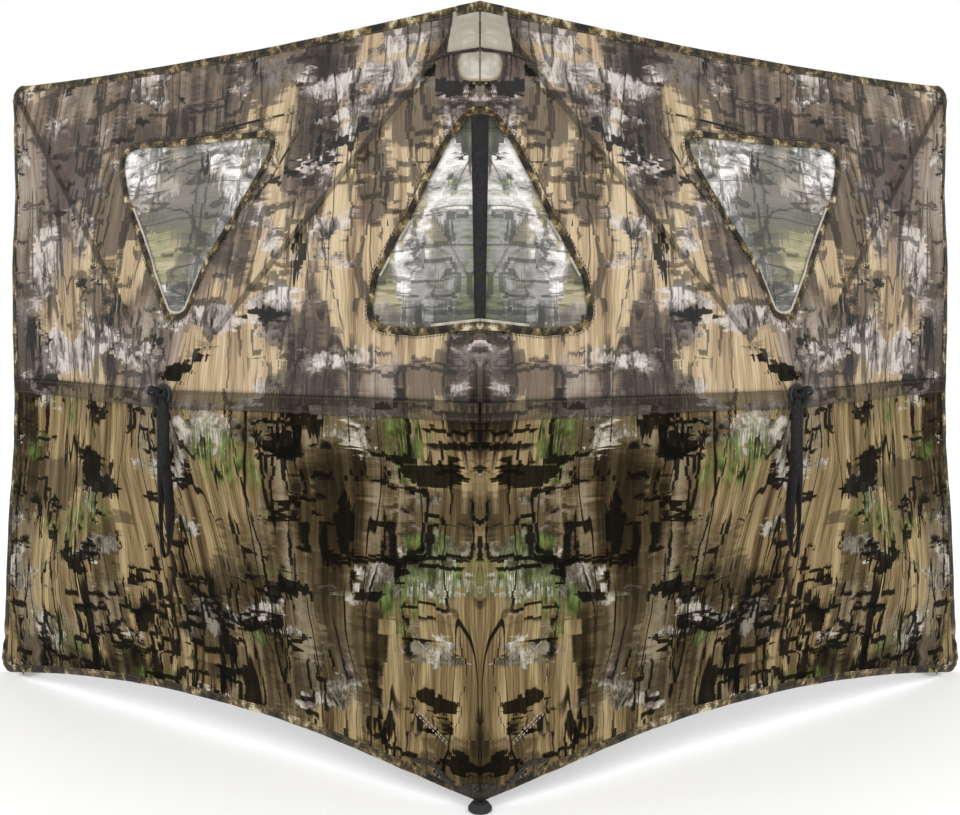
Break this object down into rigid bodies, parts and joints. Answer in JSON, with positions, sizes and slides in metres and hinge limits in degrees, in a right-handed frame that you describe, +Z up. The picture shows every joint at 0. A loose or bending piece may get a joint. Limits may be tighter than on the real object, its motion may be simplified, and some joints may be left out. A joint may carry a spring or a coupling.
{
  "type": "pop up ground blind",
  "caption": "Folding two-panel field blind: camouflage cloth on sprung rods and pop-out hubs, joined at an upright spine, with netted windows and pull straps.",
  "frame": {"origin": "on the ground under the spine where the two panels meet", "axes": "+X to the viewer's right across the front, +Y to the sheltered side, +Z up"},
  "size_m": [1.536, 0.605, 0.941],
  "materials": {
    "mesh_fabric": "see-through woven mesh printed with bark camouflage",
    "skirt_fabric": "tightly woven coated polyester printed with bark and grass camouflage",
    "netting": "fine shoot-through netting, greyed camouflage",
    "webbing": "black ribbed nylon webbing",
    "rod": "dark pultruded fibreglass",
    "ferrule": "plated steel sleeve",
    "steel": "zinc plated fasteners",
    "moulded_black": "textured black nylon",
    "rubber": "matt black rubber",
    "brass": "dull antique brass"
  },
  "bodies": {
    "spine": {"foot_cap": "rubber", "centre_strap": "webbing"},
    "left_panel_root": {"left_corner_gusset": "webbing"},
    "left_tip_swivel": {"left_tip_socket": "moulded_black"},
    "left_lower_inner": {"left_lower_inner_rod": "rod", "left_lower_inner_ferrule": "ferrule", "left_lower_inner_cap": "moulded_black", "left_lower_inner_fabric": "skirt_fabric"},
    "left_upper_inner": {"left_upper_inner_rod": "rod", "left_upper_inner_ferrule": "ferrule", "left_upper_inner_cap": "moulded_black", "left_upper_inner_fabric": "mesh_fabric", "left_mid_window_net": "netting", "left_side_net_inner": "netting"},
    "left_upper_outer": {"left_upper_outer_rod": "rod", "left_upper_outer_ferrule": "ferrule", "left_upper_outer_cap": "moulded_black", "left_upper_outer_fabric": "mesh_fabric", "left_side_net_outer": "netting"},
    "left_lower_outer": {"left_lower_outer_rod": "rod", "left_lower_outer_ferrule": "ferrule", "left_lower_outer_cap": "moulded_black", "left_lower_outer_fabric": "skirt_fabric", "left_stake_tab": "webbing", "left_stake_grommet": "brass"},
    "left_hub": {"left_hub_body": "moulded_black", "left_hub_cover": "moulded_black", "left_hub_pins": "steel", "left_hub_bolt": "steel", "left_hub_button": "moulded_black"},
    "left_strap": {"left_pull_strap": "webbing"},
    "right_panel_root": {"right_corner_gusset": "webbing"},
    "right_tip_swivel": {"right_tip_socket": "moulded_black"},
    "right_lower_inner": {"right_lower_inner_rod": "rod", "right_lower_inner_ferrule": "ferrule", "right_lower_inner_cap": "moulded_black", "right_lower_inner_fabric": "skirt_fabric"},
    "right_upper_inner": {"right_upper_inner_rod": "rod", "right_upper_inner_ferrule": "ferrule", "right_upper_inner_cap": "moulded_black", "right_upper_inner_fabric": "mesh_fabric", "right_mid_window_net": "netting", "right_side_net_inner": "netting"},
    "right_upper_outer": {"right_upper_outer_rod": "rod", "right_upper_outer_ferrule": "ferrule", "right_upper_outer_cap": "moulded_black", "right_upper_outer_fabric": "mesh_fabric", "right_side_net_outer": "netting"},
    "right_lower_outer": {"right_lower_outer_rod": "rod", "right_lower_outer_ferrule": "ferrule", "right_lower_outer_cap": "moulded_black", "right_lower_outer_fabric": "skirt_fabric", "right_stake_tab": "webbing", "right_stake_grommet": "brass"},
    "right_hub": {"right_hub_body": "moulded_black", "right_hub_cover": "moulded_black", "right_hub_pins": "steel", "right_hub_bolt": "steel", "right_hub_button": "moulded_black"},
    "right_strap": {"right_pull_strap": "webbing"}
  },
  "joints": [
    {"name": "left_swing", "type": "hinge", "parent": "spine", "child": "left_panel_root", "pos_m": [0, 0, 0.03], "axis": [0, 0, -1], "range_deg": [-37.2, 27.5]},
    {"name": "left_tip_turn", "type": "hinge", "parent": "left_panel_root", "child": "left_tip_swivel", "pos_m": [-0.02444, 0.02734, 0.033], "axis": [0, 0, 1], "range_deg": [0, 90]},
    {"name": "left_fold", "type": "hinge", "parent": "left_tip_swivel", "child": "left_lower_inner", "pos_m": [-0.02444, 0.02734, 0.033], "axis": [-0.5632, 0.4275, -0.7071], "range_deg": [0, 96.52], "deforming": ["left_lower_inner_fabric", "left_upper_inner_fabric", "left_upper_outer_fabric", "left_lower_outer_fabric", "left_mid_window_net", "left_side_net_inner", "left_side_net_outer", "left_corner_gusset", "left_stake_tab", "left_pull_strap", "centre_strap"]},
    {"name": "left_lower_inner_knuckle", "type": "hinge", "parent": "left_lower_inner", "child": "left_hub", "pos_m": [-0.39541, 0.22481, 0.44787], "axis": [0.5632, -0.4275, 0.7071], "range_deg": [0, 96.52]},
    {"name": "left_upper_inner_knuckle", "type": "hinge", "parent": "left_hub", "child": "left_upper_inner", "pos_m": [-0.39541, 0.22481, 0.49313], "axis": [0.5632, -0.4275, -0.7071], "range_deg": [0, 96.52]},
    {"name": "left_upper_outer_knuckle", "type": "hinge", "parent": "left_hub", "child": "left_upper_outer", "pos_m": [-0.43146, 0.25217, 0.49313], "axis": [0.5632, -0.4275, 0.7071], "range_deg": [0, 96.52]},
    {"name": "left_lower_outer_knuckle", "type": "hinge", "parent": "left_hub", "child": "left_lower_outer", "pos_m": [-0.43146, 0.25217, 0.44787], "axis": [-0.5632, 0.4275, 0.7071], "range_deg": [0, 96.52]},
    {"name": "left_strap_swing", "type": "hinge", "parent": "left_hub", "child": "left_strap", "pos_m": [-0.43036, 0.21618, 0.4705], "axis": [-0.7965, 0.6046, 0], "range_deg": [0, 90]},
    {"name": "right_swing", "type": "hinge", "parent": "spine", "child": "right_panel_root", "pos_m": [0, 0, 0.03], "axis": [0, 0, 1], "range_deg": [-37.2, 27.5]},
    {"name": "right_tip_turn", "type": "hinge", "parent": "right_panel_root", "child": "right_tip_swivel", "pos_m": [0.02444, 0.02734, 0.033], "axis": [0, 0, -1], "range_deg": [0, 90]},
    {"name": "right_fold", "type": "hinge", "parent": "right_tip_swivel", "child": "right_lower_inner", "pos_m": [0.02444, 0.02734, 0.033], "axis": [-0.5632, -0.4275, 0.7071], "range_deg": [0, 96.52], "deforming": ["right_lower_inner_fabric", "right_upper_inner_fabric", "right_upper_outer_fabric", "right_lower_outer_fabric", "right_mid_window_net", "right_side_net_inner", "right_side_net_outer", "right_corner_gusset", "right_stake_tab", "right_pull_strap"]},
    {"name": "right_lower_inner_knuckle", "type": "hinge", "parent": "right_lower_inner", "child": "right_hub", "pos_m": [0.39541, 0.22481, 0.44787], "axis": [0.5632, 0.4275, -0.7071], "range_deg": [0, 96.52]},
    {"name": "right_upper_inner_knuckle", "type": "hinge", "parent": "right_hub", "child": "right_upper_inner", "pos_m": [0.39541, 0.22481, 0.49313], "axis": [0.5632, 0.4275, 0.7071], "range_deg": [0, 96.52]},
    {"name": "right_upper_outer_knuckle", "type": "hinge", "parent": "right_hub", "child": "right_upper_outer", "pos_m": [0.43146, 0.25217, 0.49313], "axis": [0.5632, 0.4275, -0.7071], "range_deg": [0, 96.52]},
    {"name": "right_lower_outer_knuckle", "type": "hinge", "parent": "right_hub", "child": "right_lower_outer", "pos_m": [0.43146, 0.25217, 0.44787], "axis": [-0.5632, -0.4275, -0.7071], "range_deg": [0, 96.52]},
    {"name": "right_strap_swing", "type": "hinge", "parent": "right_hub", "child": "right_strap", "pos_m": [0.43036, 0.21618, 0.4705], "axis": [-0.7965, -0.6046, 0], "range_deg": [0, 90]}
  ],
  "couplings": [
    {"joint": "left_lower_inner_knuckle", "follows": "left_fold", "ratio": 1},
    {"joint": "left_upper_inner_knuckle", "follows": "left_fold", "ratio": 1},
    {"joint": "left_upper_outer_knuckle", "follows": "left_fold", "ratio": 1},
    {"joint": "left_lower_outer_knuckle", "follows": "left_fold", "ratio": 1},
    {"joint": "left_tip_turn", "follows": "left_fold", "ratio": 0.9325},
    {"joint": "left_strap_swing", "follows": "left_fold", "ratio": 0.9325},
    {"joint": "right_lower_inner_knuckle", "follows": "right_fold", "ratio": 1},
    {"joint": "right_upper_inner_knuckle", "follows": "right_fold", "ratio": 1},
    {"joint": "right_upper_outer_knuckle", "follows": "right_fold", "ratio": 1},
    {"joint": "right_lower_outer_knuckle", "follows": "right_fold", "ratio": 1},
    {"joint": "right_tip_turn", "follows": "right_fold", "ratio": 0.9325},
    {"joint": "right_strap_swing", "follows": "right_fold", "ratio": 0.9325}
  ]
}
